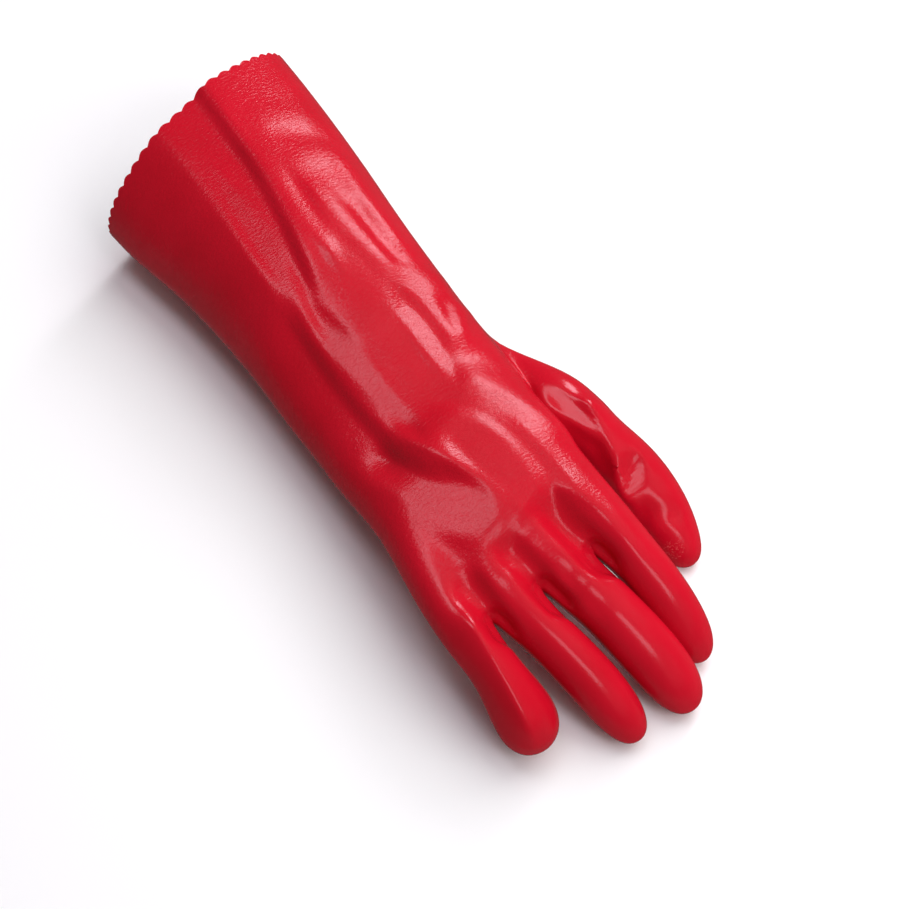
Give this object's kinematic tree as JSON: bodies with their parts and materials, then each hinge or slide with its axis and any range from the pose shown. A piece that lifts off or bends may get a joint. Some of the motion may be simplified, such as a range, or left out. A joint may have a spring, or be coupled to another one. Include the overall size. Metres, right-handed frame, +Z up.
{
  "type": "pvc coated work glove",
  "caption": "Right-hand long-cuffed work glove dipped in glossy red PVC, lying palm down, with an open flared cuff and a pinked edge.",
  "frame": {"origin": "middle of the plan outline, on the surface the glove lies on", "axes": "+Z up from the palm to the back of the hand, +Y from the fingertips to the cuff opening, +X towards the thumb"},
  "size_m": [0.1342, 0.3646, 0.0687],
  "materials": {
    "red_pvc": "glossy, softly textured by the knit below"
  },
  "bodies": {
    "root": {"glove_shell": "red_pvc"}
  },
  "joints": []
}
